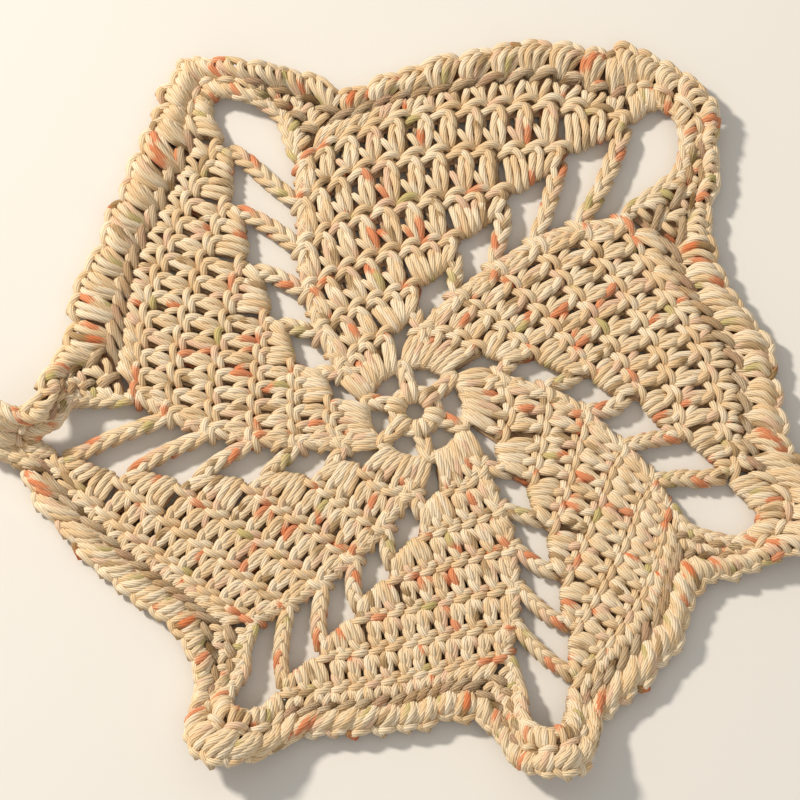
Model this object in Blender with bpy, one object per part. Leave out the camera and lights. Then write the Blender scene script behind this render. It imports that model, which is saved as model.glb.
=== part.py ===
# A crochet doily laid flat: six wings worked in the round in one piece of thick cotton
# yarn, six spiral arms of eyelets between them, and a border of puff stitches.
# It is one cloth, so it is one closed solid. Sizes below are in millimetres.
import math
from collections import namedtuple

import bmesh
import bpy

MM = 0.001

WINGS = 6
TOP_WING_NORMAL = 105.0      # degrees, the way the rows of the first wing face
THICKNESS = 5.0              # double crochet in this yarn
BORDER_THICKNESS = 7.0       # the puff stitches stand prouder than the rows
RING_HOLE_RADIUS = 3.8       # the hole in the starting ring
RING_PLACE = (3.46, -3.22)  # the ring, from the middle of the doily's box
SPOKE_HOLE_SIZE = (4.6, 3.7)  # half sizes of a hole between two spokes
SPOKE_HOLE_REACH = 13.3
SPOKE_HOLE_TURN = -31.0      # degrees past the normal of its wing
CHAIN_REACH = 1.1            # how far a chain's ridge reaches into an eyelet
POST_REACH = 0.4             # the same for the end post of a row
CLOSE_SHARE = 0.6            # the share of these near the centre, where the yarn is tight
PUFF_PITCH = 9.0
PUFF_BULGE = 0.9
CELL = 7.0                   # side of the squares the cloth is bent in
SLAB_HALF = 23 * CELL        # half the side of the slab that the cloth is cut from
HOLE_STEP = 5.0              # spacing of the points round an eyelet
TOOL_HEIGHT = 30.0

COTTON = (0.83, 0.67, 0.45, 1.0)
COTTON_ROUGHNESS = 0.9

# One wing, seen with its rows level: x runs clockwise along the rows, y outwards.
# Each round: left end, crown and right end of its top edge, the place where its fan of
# stitches starts on the chain of the round before, and the bow of its free chain.
Round = namedtuple("Round", "left crown right fan_start bar_bow")
ROUNDS = {
    2: Round((-20.0, 22.0), (-9.0, 29.5), (0.5, 29.0), (-1.5, 17.0), 0.5),
    3: Round((-21.0, 39.0), (-4.0, 42.5), (13.0, 42.8), (8.5, 33.5), 1.5),
    4: Round((-20.0, 54.5), (4.0, 55.5), (28.5, 53.8), (24.5, 47.3), 2.5),
    5: Round((-18.0, 68.5), (12.0, 68.5), (44.5, 63.8), (40.0, 58.3), 3.0),
    6: Round((-13.0, 82.0), (22.0, 81.0), (62.0, 72.3), (58.0, 67.8), 4.0),
    7: Round((-7.0, 93.0), (34.0, 92.0), (80.0, 79.3), (77.0, 75.3), 0.0),
}
SPOKE_TOP = (-14.4, 10.0)
TIP_LOOP = ((91.0, 84.0), (99.0, 80.0), (98.0, 67.0))
ROW_END = ((5.0, 109.0), (10.0, 103.0), (20.0, 101.5), (38.0, 100.5), (60.0, 94.0),
           (78.0, 88.5), (92.0, 91.5), (104.0, 83.5), (105.0, 68.0))
EDGE = ((14.0, 116.5), (19.0, 112.0), (30.0, 111.5), (44.0, 110.5), (64.0, 104.5),
        (80.0, 101.0), (95.0, 104.5), (108.0, 99.0), (115.0, 88.0), (113.0, 72.0))

# Angle of an eyelet arm behind the normal of its wing, by distance from the centre.
ARM_LINE = ((12.0, 0.0), (29.0, 10.0), (45.0, 21.8), (60.0, 31.4), (75.0, 39.1),
            (92.0, 45.0), (108.5, 50.3), (130.0, 54.0), (150.0, 56.0))

# How each arm really lies, turned and pulled by hand: its turn in degrees and its
# stretch near the centre, at the last eyelet and at the tip, and how far the wing
# behind it is pulled out along the arm. wing_stretch is that of the wing before it.
Arm = namedtuple("Arm", "name turn_in turn_mid turn_out turn_tip stretch_in stretch_out stretch_tip"
                        " slide wing_stretch")
ARMS = (
    Arm("upper_right", 1.0, -0.5, -6.0, -2.0, 0.98, 1.13, 1.045, 3.5, 1.12),
    Arm("right", -1.5, -5.0, -13.0, -13.0, 1.02, 0.95, 0.985, 0.0, 0.98),
    Arm("lower_right", -6.5, 0.0, 0.5, -6.0, 1.07, 0.95, 0.945, 0.0, 1.00),
    Arm("lower_left", 1.5, 2.5, 6.0, 6.0, 1.00, 0.95, 0.95, 0.0, 0.93),
    Arm("left", 2.5, 6.5, 9.5, 8.0, 0.95, 1.01, 1.00, 8.0, 0.99),
    Arm("upper_left", 5.5, 8.0, 4.6, 12.0, 0.97, 1.03, 1.05, 3.0, 1.02),
)
INNER_REACH, MIDDLE_REACH, OUTER_REACH, TIP_REACH = 30.0, 50.0, 110.0, 145.0

# Small pulls of the cloth: x, y, how far it is drawn in x and in y, and the reach of it.
PULLS = (
    (48.0, 120.0, 0.0, 6.0, 20.0), (87.0, 98.0, -4.5, 0.0, 12.0), (67.0, 92.0, -4.0, 0.5, 10.0),
    (46.0, 81.0, -2.5, 0.0, 8.0), (-90.0, 122.0, 5.0, -3.0, 12.0),
    (-19.0, 122.0, 0.0, -4.5, 12.0), (2.0, 129.0, 0.0, -5.5, 14.0),
    (116.0, 22.0, 5.0, 1.0, 16.0), (47.0, -128.0, 0.0, 3.0, 10.0), (-60.0, -91.0, 6.0, 0.0, 9.0),
    (-128.0, -1.0, 7.0, -3.0, 9.0), (-134.0, 9.0, 0.0, -2.5, 8.0),
    (-115.0, 38.0, -3.5, 0.0, 14.0), (-57.0, 99.0, 2.0, -1.0, 10.0),
    (-35.0, 22.0, -2.0, 0.0, 10.0), (-23.0, 8.0, -2.0, 0.0, 7.0), (86.0, -13.0, 2.0, 1.5, 10.0),
    (111.0, -34.0, -3.5, 0.0, 9.0), (92.0, -37.0, -1.0, -2.0, 7.0), (50.0, 9.0, 1.5, 1.5, 14.0),
    (22.0, 16.0, 3.0, 1.5, 8.0), (41.0, -65.0, 1.5, 0.0, 25.0), (-12.0, -48.0, 1.3, -0.8, 16.0),
    (3.0, -25.0, 1.5, -1.5, 8.0),
)

# The folds: each tip is pinched into a ridge along its own line, from start outwards.
Fold = namedtuple("Fold", "angle start height half_width pinch")
FOLDS = (
    Fold(48.0, 118.0, 2.5, 13.0, 0.05),
    Fold(-21.0, 112.0, 5.0, 15.0, 0.10),
    Fold(-69.0, 98.0, 11.0, 12.0, 0.36),
    Fold(-118.0, 104.0, 10.0, 13.0, 0.25),
    Fold(-180.0, 106.0, 12.0, 12.0, 0.42),
    Fold(115.0, 114.0, 6.0, 14.0, 0.25),
)
REST_POINTS = ((70.0, 124.0), (76.0, -88.0), (-110.0, -45.0))  # where the cloth touches down
REST_DIP = 0.15              # how far it hangs down to each of them
REST_REACH = 16.0            # and how wide that dip is
FOLD_SPREAD = 30.0           # degrees each side that a pinch draws in
FOLD_RUN = 24.0              # how far a fold takes to rise to its height
WAVE_HEIGHT = 0.9            # the slight swell of the cloth between the folds
WAVE_FROM, WAVE_TO, WAVE_COUNT = 70.0, 118.0, 5.0

# Where a wing's pull along an arm is strongest, as a share of the way to the next arm,
# how wide it is, and the reach between which it grows.
PULL_SHARE, PULL_WIDTH = 0.88, 0.35
PULL_FROM, PULL_TO = 35.0, 85.0


def table_value(x, table):
    """Read a table of (x, value) rows, straight between its rows."""
    if x <= table[0][0]:
        return table[0][1]
    for (x0, y0), (x1, y1) in zip(table, table[1:]):
        if x <= x1:
            return y0 + (y1 - y0) * (x - x0) / (x1 - x0)
    return table[-1][1]


def smooth(x):
    x = min(max(x, 0.0), 1.0)
    return x * x * (3.0 - 2.0 * x)


def on_wing(wing, point):
    """A point of a wing's own frame, turned to that wing's place."""
    angle = math.radians(TOP_WING_NORMAL - 90.0 - wing * 360.0 / WINGS)
    x, y = point
    return (x * math.cos(angle) - y * math.sin(angle),
            x * math.sin(angle) + y * math.cos(angle))


def polar_point(reach, degrees):
    return (reach * math.cos(math.radians(degrees)), reach * math.sin(math.radians(degrees)))


def arm_values(arm, reach):
    turn = table_value(reach, ((INNER_REACH, arm.turn_in), (MIDDLE_REACH, arm.turn_mid),
                               (OUTER_REACH, arm.turn_out), (TIP_REACH, arm.turn_tip)))
    stretch = table_value(reach, ((INNER_REACH, arm.stretch_in), (OUTER_REACH, arm.stretch_out),
                                  (TIP_REACH, arm.stretch_tip)))
    return turn, stretch


def lay(point):
    """Move a point of the even pattern to where the cloth really lies, seen from above."""
    reach = math.hypot(*point)
    if reach < 1e-6:
        return point
    degrees = math.degrees(math.atan2(point[1], point[0]))
    place = (TOP_WING_NORMAL - table_value(reach, ARM_LINE) - degrees) / (360.0 / WINGS)
    before = math.floor(place)
    share = place - before
    arm, following = ARMS[before % WINGS], ARMS[(before + 1) % WINGS]
    turn, stretch = arm_values(arm, reach)
    next_turn, next_stretch = arm_values(following, reach)
    blend = smooth(share)
    near_centre = min(1.0, reach / INNER_REACH)
    turn = near_centre * (turn + (next_turn - turn) * blend)
    middle = math.sin(math.pi * share) ** 2
    outward = smooth((reach - INNER_REACH) / (OUTER_REACH - INNER_REACH))
    stretch = stretch + (next_stretch - stretch) * blend
    stretch += (following.wing_stretch - stretch) * middle * outward
    stretch = 1.0 + (stretch - 1.0) * near_centre
    pulled = following.slide * max(0.0, 1.0 - abs(share - PULL_SHARE) / PULL_WIDTH)
    pulled += arm.slide * max(0.0, 1.0 - abs(share + 1.0 - PULL_SHARE) / PULL_WIDTH)
    pulled *= smooth((reach - PULL_FROM) / (PULL_TO - PULL_FROM))
    pulled *= smooth((TIP_REACH - 5.0 - reach) / 25.0)
    degrees += turn
    reach = reach * stretch + pulled
    for fold in FOLDS:
        aside = (degrees - fold.angle + 180.0) % 360.0 - 180.0
        drawn = fold.pinch * smooth((reach - fold.start) / FOLD_RUN)
        drawn *= smooth(1.5 * (1.0 - abs(aside) / FOLD_SPREAD))
        degrees -= aside * drawn
    x, y = polar_point(reach, degrees)
    moved_x, moved_y = x, y
    for from_x, from_y, along_x, along_y, around in PULLS:
        near = math.exp(-((x - from_x) ** 2 + (y - from_y) ** 2) / around ** 2)
        moved_x += along_x * near
        moved_y += along_y * near
    return moved_x, moved_y


def lift(x, y):
    """Height of the cloth's underside over the surface it lies on."""
    reach = math.hypot(x, y)
    degrees = math.degrees(math.atan2(y, x))
    swell = 0.5 + 0.5 * math.sin(math.radians(WAVE_COUNT * degrees))
    height = WAVE_HEIGHT * swell * smooth((reach - WAVE_FROM) / 40.0)
    height *= smooth((WAVE_TO - reach) / 12.0)
    for fold in FOLDS:
        aside = math.radians((degrees - fold.angle + 180.0) % 360.0 - 180.0)
        along, across = reach * math.cos(aside), reach * math.sin(aside)
        if along > fold.start:
            rise = smooth((along - fold.start) / FOLD_RUN)
            height += fold.height * rise * math.exp(-1.6 * (across / fold.half_width) ** 2)
    for rest_x, rest_y in REST_POINTS:
        away = math.hypot(x - rest_x, y - rest_y) / REST_REACH
        height -= REST_DIP * math.exp(-away * away)
    return height + REST_DIP


def rounded(points, steps, closed):
    """A smooth line through points, with steps pieces between each two."""
    line = []
    count = len(points)
    for i in range(count if closed else count - 1):
        if closed:
            near = [points[(i + j) % count] for j in (-1, 0, 1, 2)]
        else:
            near = [points[max(i - 1, 0)], points[i], points[i + 1],
                    points[min(i + 2, count - 1)]]
        for step in range(steps):
            t = step / steps
            line.append(tuple(
                0.5 * (2.0 * b + (c - a) * t + (2.0 * a - 5.0 * b + 4.0 * c - d) * t * t
                       + (3.0 * b - a - 3.0 * c + d) * t ** 3)
                for a, b, c, d in zip(*near)))
    return line


def evenly(points, step):
    """The closed line through points, with new points about one step apart."""
    ring = list(points) + [points[0]]
    lengths = [math.dist(a, b) for a, b in zip(ring, ring[1:])]
    total = sum(lengths)
    count = max(8, round(total / step))
    result = []
    covered, piece = 0.0, 0
    for n in range(count):
        target = total * n / count
        while covered + lengths[piece] < target:
            covered += lengths[piece]
            piece += 1
        t = (target - covered) / lengths[piece]
        a, b = ring[piece], ring[piece + 1]
        result.append((a[0] + (b[0] - a[0]) * t, a[1] + (b[1] - a[1]) * t))
    return result


def middle_of(a, b):
    return ((a[0] + b[0]) / 2.0, (a[1] + b[1]) / 2.0)


def chain_bar(wing, number):
    """Start, bowed middle and end of the free chain over eyelet number."""
    start = on_wing(wing, ROUNDS[number + 1].fan_start)
    end = on_wing(wing + 1, ROUNDS[number].left)
    centre = middle_of(start, end)
    bow = 1.0 + ROUNDS[number].bar_bow / math.hypot(*centre)
    return start, (centre[0] * bow, centre[1] * bow), end


def pared(line, a, b, depth):
    """A closed line less a strip of the given depth along its side from a to b."""
    length = math.dist(a, b)
    nx, ny = (a[1] - b[1]) / length, (b[0] - a[0]) / length
    cx = sum(x for x, y in line) / len(line)
    cy = sum(y for x, y in line) / len(line)
    if (cx - a[0]) * nx + (cy - a[1]) * ny < 0.0:
        nx, ny = -nx, -ny
    inside = [(x - a[0]) * nx + (y - a[1]) * ny - depth for x, y in line]
    kept = []
    for n, point in enumerate(line):
        following = (n + 1) % len(line)
        if inside[n] >= 0.0:
            kept.append(point)
        if inside[n] * inside[following] < 0.0:
            t = inside[n] / (inside[n] - inside[following])
            x, y = line[following]
            kept.append((point[0] + (x - point[0]) * t, point[1] + (y - point[1]) * t))
    return kept


def softened(line, passes):
    """A closed line with its corners cut, more finely with each pass."""
    for _ in range(passes):
        cut = []
        for a, b in zip(line, line[1:] + line[:1]):
            for t in (0.25, 0.75):
                cut.append((a[0] + (b[0] - a[0]) * t, a[1] + (b[1] - a[1]) * t))
        line = cut
    return line


def eyelet(wing, number):
    """The outline of one eyelet of the even pattern, inside the strands that bound it."""
    shape = ROUNDS[number]
    fan_start, right = on_wing(wing, shape.fan_start), on_wing(wing, shape.right)
    if number == max(ROUNDS):
        outer = [on_wing(wing, point) for point in TIP_LOOP]
        outer.append(on_wing(wing + 1, shape.left))
    else:
        outer = list(chain_bar(wing, number))
    if number == min(ROUNDS):
        inner, bow = on_wing(wing + 1, SPOKE_TOP), 0.0
    else:
        inner, bow = chain_bar(wing, number - 1)[2], ROUNDS[number - 1].bar_bow
    close = table_value(number, ((2, CLOSE_SHARE), (4, 1.0)))
    corners = [fan_start, right] + outer + [inner]
    line = corners
    depths = [0.0] + [CHAIN_REACH] * len(outer) + [POST_REACH, CHAIN_REACH + bow / 2.0]
    for a, b, depth in zip(corners, corners[1:] + corners[:1], depths):
        line = pared(line, a, b, depth * close)
    return softened(line, 2)


def spoke_hole(wing):
    degrees = TOP_WING_NORMAL - wing * 360.0 / WINGS + SPOKE_HOLE_TURN + 360.0 / WINGS
    cx, cy = polar_point(SPOKE_HOLE_REACH, degrees)
    across, along = SPOKE_HOLE_SIZE
    line = []
    for n in range(12):
        u, v = polar_point(1.0, n * 30.0)
        turned = math.radians(degrees - 90.0)
        line.append((cx + u * across * math.cos(turned) - v * along * math.sin(turned),
                     cy + u * across * math.sin(turned) + v * along * math.cos(turned)))
    return line


def outline(wing_points):
    """A closed line round all six wings of the even pattern."""
    corners = [on_wing(wing, point) for wing in range(WINGS) for point in wing_points]
    return rounded(corners, 6, True)


def scalloped(line):
    """The edge, laid and bulged once for each puff stitch."""
    laid = [lay(point) for point in line]
    length = sum(math.dist(a, b) for a, b in zip(laid, laid[1:] + laid[:1]))
    puffs = round(length / PUFF_PITCH)
    points = evenly(laid, length / (puffs * 3))
    result = []
    count = len(points)
    for n, (x, y) in enumerate(points):
        ax, ay = points[n - 1]
        bx, by = points[(n + 1) % count]
        run = math.dist((ax, ay), (bx, by))
        out = PUFF_BULGE * (0.5 - math.cos(2.0 * math.pi * n / 3.0))
        result.append((x - (by - ay) / run * -out, y - (bx - ax) / run * out))
    return result


def flat_solid(name, lines, bottom, top, collection):
    """A prism over closed lines, where a line inside another leaves a hole."""
    curve = bpy.data.curves.new(name, "CURVE")
    curve.dimensions = "2D"
    curve.fill_mode = "BOTH"
    curve.extrude = (top - bottom) / 2.0 * MM
    for line in lines:
        spline = curve.splines.new("POLY")
        spline.points.add(len(line) - 1)
        for point, (x, y) in zip(spline.points, line):
            point.co = (x * MM, y * MM, 0.0, 1.0)
        spline.use_cyclic_u = True
    source = bpy.data.objects.new(name + "_curve", curve)
    collection.objects.link(source)
    bpy.context.view_layer.update()
    ready = source.evaluated_get(bpy.context.evaluated_depsgraph_get())
    mesh = bpy.data.meshes.new_from_object(ready)
    bpy.data.objects.remove(source)
    shape = bmesh.new()
    shape.from_mesh(mesh)
    bmesh.ops.remove_doubles(shape, verts=shape.verts, dist=0.01 * MM)
    bmesh.ops.translate(shape, verts=shape.verts, vec=(0.0, 0.0, (top + bottom) / 2.0 * MM))
    bmesh.ops.recalc_face_normals(shape, faces=shape.faces)
    shape.to_mesh(mesh)
    shape.free()
    body = bpy.data.objects.new(name, mesh)
    collection.objects.link(body)
    return body


def ruled_slab(name, half, bottom, top, collection):
    """A square slab ruled into small squares, so that it can bend."""
    mesh = bpy.data.meshes.new(name)
    shape = bmesh.new()
    squares = round(2.0 * half / CELL)
    bmesh.ops.create_grid(shape, x_segments=squares, y_segments=squares, size=half * MM)
    bmesh.ops.translate(shape, verts=shape.verts, vec=(0.0, 0.0, bottom * MM))
    raised = bmesh.ops.extrude_face_region(shape, geom=list(shape.faces), use_keep_orig=True)
    upper = [item for item in raised["geom"] if isinstance(item, bmesh.types.BMVert)]
    bmesh.ops.translate(shape, verts=upper, vec=(0.0, 0.0, (top - bottom) * MM))
    bmesh.ops.recalc_face_normals(shape, faces=shape.faces)
    shape.to_mesh(mesh)
    shape.free()
    slab = bpy.data.objects.new(name, mesh)
    collection.objects.link(slab)
    return slab


def add_boolean(body, tool, operation):
    cut = body.modifiers.new(tool.name, "BOOLEAN")
    cut.operation = operation
    cut.solver = "EXACT"
    cut.object = tool
    tool.hide_render = True
    tool.display_type = "WIRE"


def bend(body):
    """Bake the cuts, give the cloth its folds and centre it on its own box."""
    bpy.context.view_layer.update()
    ready = body.evaluated_get(bpy.context.evaluated_depsgraph_get())
    mesh = bpy.data.meshes.new_from_object(ready)
    body.modifiers.clear()
    shape = bmesh.new()
    shape.from_mesh(mesh)
    bmesh.ops.remove_doubles(shape, verts=shape.verts, dist=0.02 * MM)
    bmesh.ops.dissolve_degenerate(shape, edges=shape.edges, dist=0.02 * MM)
    bmesh.ops.holes_fill(shape, edges=[edge for edge in shape.edges if edge.is_boundary])
    bmesh.ops.triangulate(shape, faces=shape.faces)
    for vert in shape.verts:
        vert.co.z += lift(vert.co.x / MM, vert.co.y / MM) * MM
        vert.co.x += RING_PLACE[0] * MM
        vert.co.y += RING_PLACE[1] * MM
    shape.to_mesh(mesh)
    shape.free()
    body.data = mesh
    mesh.name = "doily"


def cotton_material():
    material = bpy.data.materials.new("flecked_cotton")
    material.use_nodes = True
    shader = material.node_tree.nodes["Principled BSDF"]
    shader.inputs["Base Color"].default_value = COTTON
    shader.inputs["Roughness"].default_value = COTTON_ROUGHNESS
    shader.inputs["Metallic"].default_value = 0.0
    return material


def build():
    for item in list(bpy.data.objects):
        bpy.data.objects.remove(item)
    parts = bpy.data.collections.new("crochet_doily")
    tools = bpy.data.collections.new("cutters")
    bpy.context.scene.collection.children.link(parts)
    bpy.context.scene.collection.children.link(tools)

    edge = scalloped(outline(EDGE))
    row_end = evenly([lay(point) for point in outline(ROW_END)], PUFF_PITCH)
    eyelets = [evenly([lay(point) for point in eyelet(wing, number)], HOLE_STEP)
               for wing in range(WINGS) for number in ROUNDS]
    eyelets += [[lay(point) for point in spoke_hole(wing)] for wing in range(WINGS)]
    eyelets.append([polar_point(RING_HOLE_RADIUS, n * 30.0) for n in range(12)])

    doily = ruled_slab("doily", SLAB_HALF, 0.0, THICKNESS, parts)
    border = ruled_slab("border_puffs", SLAB_HALF - CELL, THICKNESS / 2.0, BORDER_THICKNESS,
                        tools)
    row_cutter = flat_solid("row_cutter", [row_end], -TOOL_HEIGHT, TOOL_HEIGHT, tools)
    edge_cutter = flat_solid("edge_cutter", [edge], -TOOL_HEIGHT, TOOL_HEIGHT, tools)
    hole_cutter = flat_solid("eyelet_cutter", eyelets, -TOOL_HEIGHT, TOOL_HEIGHT, tools)
    add_boolean(border, row_cutter, "DIFFERENCE")
    add_boolean(doily, border, "UNION")
    add_boolean(doily, edge_cutter, "INTERSECT")
    add_boolean(doily, hole_cutter, "DIFFERENCE")
    bend(doily)
    doily.data.materials.clear()
    doily.data.materials.append(cotton_material())


build()
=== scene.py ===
# A crochet doily in flecked cotton: a six-armed pinwheel of double crochet with a
# puffed border, laid on a pale floor.
import math
import random

import bmesh
import bpy
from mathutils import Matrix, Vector


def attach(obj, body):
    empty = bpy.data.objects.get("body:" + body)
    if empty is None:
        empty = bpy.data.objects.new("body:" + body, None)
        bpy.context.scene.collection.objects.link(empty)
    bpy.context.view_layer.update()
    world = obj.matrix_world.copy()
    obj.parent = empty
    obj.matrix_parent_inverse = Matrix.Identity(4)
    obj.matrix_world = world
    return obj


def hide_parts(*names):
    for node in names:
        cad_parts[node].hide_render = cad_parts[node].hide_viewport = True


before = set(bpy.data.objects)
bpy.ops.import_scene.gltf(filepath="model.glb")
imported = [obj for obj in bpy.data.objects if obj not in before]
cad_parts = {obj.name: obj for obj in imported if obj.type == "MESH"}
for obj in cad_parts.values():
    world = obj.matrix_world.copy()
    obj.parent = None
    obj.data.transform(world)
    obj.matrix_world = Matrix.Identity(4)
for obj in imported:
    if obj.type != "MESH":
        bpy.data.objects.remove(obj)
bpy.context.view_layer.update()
random.seed(11)
mm = 0.001

# The lay of the cloth.

# One wing seen with its rows level: x runs clockwise along the rows, y outwards, in mm.
rounds = {
    2: dict(stitches=4, left=(-20.0, 22.0), crown=(-9.0, 29.5), right=(0.5, 29.0),
            fanStart=(-1.5, 17.0), barBow=0.5),
    3: dict(stitches=6, left=(-21.0, 39.0), crown=(-4.0, 42.5), right=(13.0, 42.8),
            fanStart=(8.5, 33.5), barBow=1.5),
    4: dict(stitches=8, left=(-20.0, 54.5), crown=(4.0, 55.5), right=(28.5, 53.8),
            fanStart=(24.5, 47.3), barBow=2.5),
    5: dict(stitches=10, left=(-18.0, 68.5), crown=(12.0, 68.5), right=(44.5, 63.8),
            fanStart=(40.0, 58.3), barBow=3.0),
    6: dict(stitches=12, left=(-13.0, 82.0), crown=(22.0, 81.0), right=(62.0, 72.3),
            fanStart=(58.0, 67.8), barBow=4.0),
    7: dict(stitches=14, left=(-7.0, 93.0), crown=(34.0, 92.0), right=(80.0, 79.3),
            fanStart=(77.0, 75.3), barBow=0.0),
}
layout = {
    "wings": 6,
    "topWingNormal": 105.0,
    "ringPlace": (3.46, -3.22),
    "spokeTop": (-14.4, 10.0),
    "spokeBend": (-8.2, 15.6),
    "tipLoop": ((91.0, 84.0), (99.0, 80.0), (98.0, 67.0)),
    "rowEnd": ((5.0, 109.0), (10.0, 103.0), (20.0, 101.5), (38.0, 100.5), (60.0, 94.0),
               (78.0, 88.5), (92.0, 91.5), (104.0, 83.5), (105.0, 68.0)),
    "edge": ((14.0, 116.5), (19.0, 112.0), (30.0, 111.5), (44.0, 110.5), (64.0, 104.5),
             (80.0, 101.0), (95.0, 104.5), (108.0, 99.0), (115.0, 88.0), (113.0, 72.0)),
    "armLine": ((12.0, 0.0), (29.0, 10.0), (45.0, 21.8), (60.0, 31.4), (75.0, 39.1),
                (92.0, 45.0), (108.5, 50.3), (130.0, 54.0), (150.0, 56.0)),
    "firstRound": 2, "lastRound": 8,
    # Stitches worked over each round's chain, those of the last along a bare chain, and the
    # least room of a stitch of the last row.
    "fans": {2: 4, 8: 9}, "usualFan": 3, "bareStitches": 4, "lastRowRoom": 4.6,
    "climbStart": (-11.4, 17.4), "climbInset": 3.3,
    "innerReach": 30.0, "middleReach": 50.0, "outerReach": 110.0, "tipReach": 145.0,
    "pullShare": 0.88, "pullWidth": 0.35, "pullFrom": 35.0, "pullTo": 85.0,
    "pullMargin": 5.0, "pullFade": 25.0,
    "foldSpread": 30.0, "foldRun": 24.0, "foldShoulder": 1.5, "foldSharpness": 1.6,
    "waveHeight": 0.9, "waveFrom": 70.0, "waveTo": 118.0, "waveCount": 5.0,
    "waveRise": 40.0, "waveFall": 12.0,
    "lineSteps": 8,
}
wingAngle = 360.0 / layout["wings"]
# How each arm really lies, turned and pulled by hand, clockwise from the upper right.
arms = (
    dict(turnIn=1.0, turnMid=-0.5, turnOut=-6.0, turnTip=-2.0,
         stretchIn=0.98, stretchOut=1.13, stretchTip=1.045, slide=3.5, wingStretch=1.12),
    dict(turnIn=-1.5, turnMid=-5.0, turnOut=-13.0, turnTip=-13.0,
         stretchIn=1.02, stretchOut=0.95, stretchTip=0.985, slide=0.0, wingStretch=0.98),
    dict(turnIn=-6.5, turnMid=0.0, turnOut=0.5, turnTip=-6.0,
         stretchIn=1.07, stretchOut=0.95, stretchTip=0.945, slide=0.0, wingStretch=1.00),
    dict(turnIn=1.5, turnMid=2.5, turnOut=6.0, turnTip=6.0,
         stretchIn=1.00, stretchOut=0.95, stretchTip=0.95, slide=0.0, wingStretch=0.93),
    dict(turnIn=2.5, turnMid=6.5, turnOut=9.5, turnTip=8.0,
         stretchIn=0.95, stretchOut=1.01, stretchTip=1.00, slide=8.0, wingStretch=0.99),
    dict(turnIn=5.5, turnMid=8.0, turnOut=4.6, turnTip=12.0,
         stretchIn=0.97, stretchOut=1.03, stretchTip=1.05, slide=3.0, wingStretch=1.02),
)
# Small pulls of the cloth: x, y, how far it is drawn in x and in y, and the reach of it.
pulls = (
    (48.0, 120.0, 0.0, 6.0, 20.0), (87.0, 98.0, -4.5, 0.0, 12.0),
    (67.0, 92.0, -1.8, 0.5, 10.0), (46.0, 81.0, -0.8, 0.5, 8.0),
    (-90.0, 122.0, 5.0, -3.0, 12.0), (-19.0, 122.0, 0.0, -4.5, 12.0),
    (2.0, 129.0, 0.0, -5.5, 14.0), (116.0, 22.0, 5.0, 1.0, 16.0),
    (47.0, -128.0, 0.0, 3.0, 10.0), (-60.0, -91.0, 6.0, 0.0, 9.0),
    (-128.0, -1.0, 7.0, -3.0, 9.0), (-134.0, 9.0, 0.0, -2.5, 8.0),
    (-115.0, 38.0, -3.5, 0.0, 14.0), (-57.0, 99.0, 2.0, -1.0, 10.0),
    (-35.0, 22.0, -2.0, 0.0, 10.0), (-23.0, 8.0, -2.0, 0.0, 7.0),
    (86.0, -13.0, 2.0, 1.5, 10.0), (111.0, -34.0, -3.5, 0.0, 9.0),
    (92.0, -37.0, -1.0, -2.0, 7.0), (50.0, 9.0, 1.5, 1.5, 14.0),
    (22.0, 16.0, 3.0, 1.5, 8.0), (50.0, -64.0, -0.8, -1.2, 20.0),
    (-12.0, -48.0, 1.3, -0.8, 16.0), (3.0, -25.0, 1.5, -1.5, 8.0),
    (-96.0, 92.0, -5.0, 1.0, 14.0), (-105.0, 69.0, -3.5, 1.0, 13.0),
    (-113.0, 44.0, -2.0, 1.0, 12.0), (-90.0, 109.0, 4.0, -1.5, 8.0),
    (-132.0, 12.0, 0.0, -4.5, 10.0), (-125.0, -30.0, -2.5, -3.0, 14.0),
    (-88.0, -78.0, 2.2, 2.0, 14.0), (-80.0, -97.0, 3.5, 1.0, 10.0),
    (-53.0, -125.0, -1.5, 4.0, 10.0), (63.0, -120.0, -6.0, 1.0, 10.0),
    (40.0, -134.0, 0.0, 3.5, 10.0), (122.0, -55.0, 0.0, 3.0, 12.0),
    (77.0, 128.0, 0.0, -2.0, 10.0), (98.0, 109.0, 4.0, 0.0, 9.0),
    (100.0, -61.0, 0.0, 2.0, 8.0), (-42.0, 65.0, 2.5, 1.0, 14.0),
    (-4.0, 28.0, 0.0, 2.0, 7.0), (36.0, 69.0, 1.5, 0.5, 9.0),
    (67.0, -10.0, 1.2, -3.2, 7.0), (78.0, -22.0, 1.2, -4.0, 7.0),
    (87.0, -37.0, -1.0, -1.5, 7.0), (-116.0, 26.0, -3.0, 0.0, 10.0),
    (-25.0, 115.0, 0.0, -2.5, 8.0), (100.0, 69.0, -2.5, 0.0, 8.0),
    (101.0, -19.0, 2.8, 2.0, 7.0), (88.0, -6.0, -2.2, -2.0, 6.0),
    (72.0, 4.0, 0.5, 2.2, 6.0), (6.0, 41.0, 1.5, 1.8, 7.0),
    (20.0, 57.0, 1.0, 1.4, 7.0), (-77.0, -86.0, 2.5, 1.0, 8.0),
    (22.0, -110.0, 0.0, 2.2, 8.0), (-130.0, 8.0, 0.0, -1.8, 7.0),
    (36.0, -127.0, 0.0, 1.5, 7.0),
)
# Each tip is pinched into a ridge along its own line, from start outwards.
folds = (
    dict(angle=48.0, start=118.0, height=2.5, halfWidth=13.0, pinch=0.05),
    dict(angle=-21.0, start=112.0, height=5.0, halfWidth=15.0, pinch=0.10),
    dict(angle=-69.0, start=98.0, height=11.0, halfWidth=12.0, pinch=0.36),
    dict(angle=-118.0, start=104.0, height=10.0, halfWidth=13.0, pinch=0.25),
    dict(angle=-180.0, start=106.0, height=12.0, halfWidth=12.0, pinch=0.42),
    dict(angle=115.0, start=114.0, height=6.0, halfWidth=14.0, pinch=0.25),
)
# Where the cloth dips to touch the floor.
rests = dict(points=((70.0, 124.0), (76.0, -88.0), (-110.0, -45.0)), dip=0.15, reach=16.0)


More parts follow.
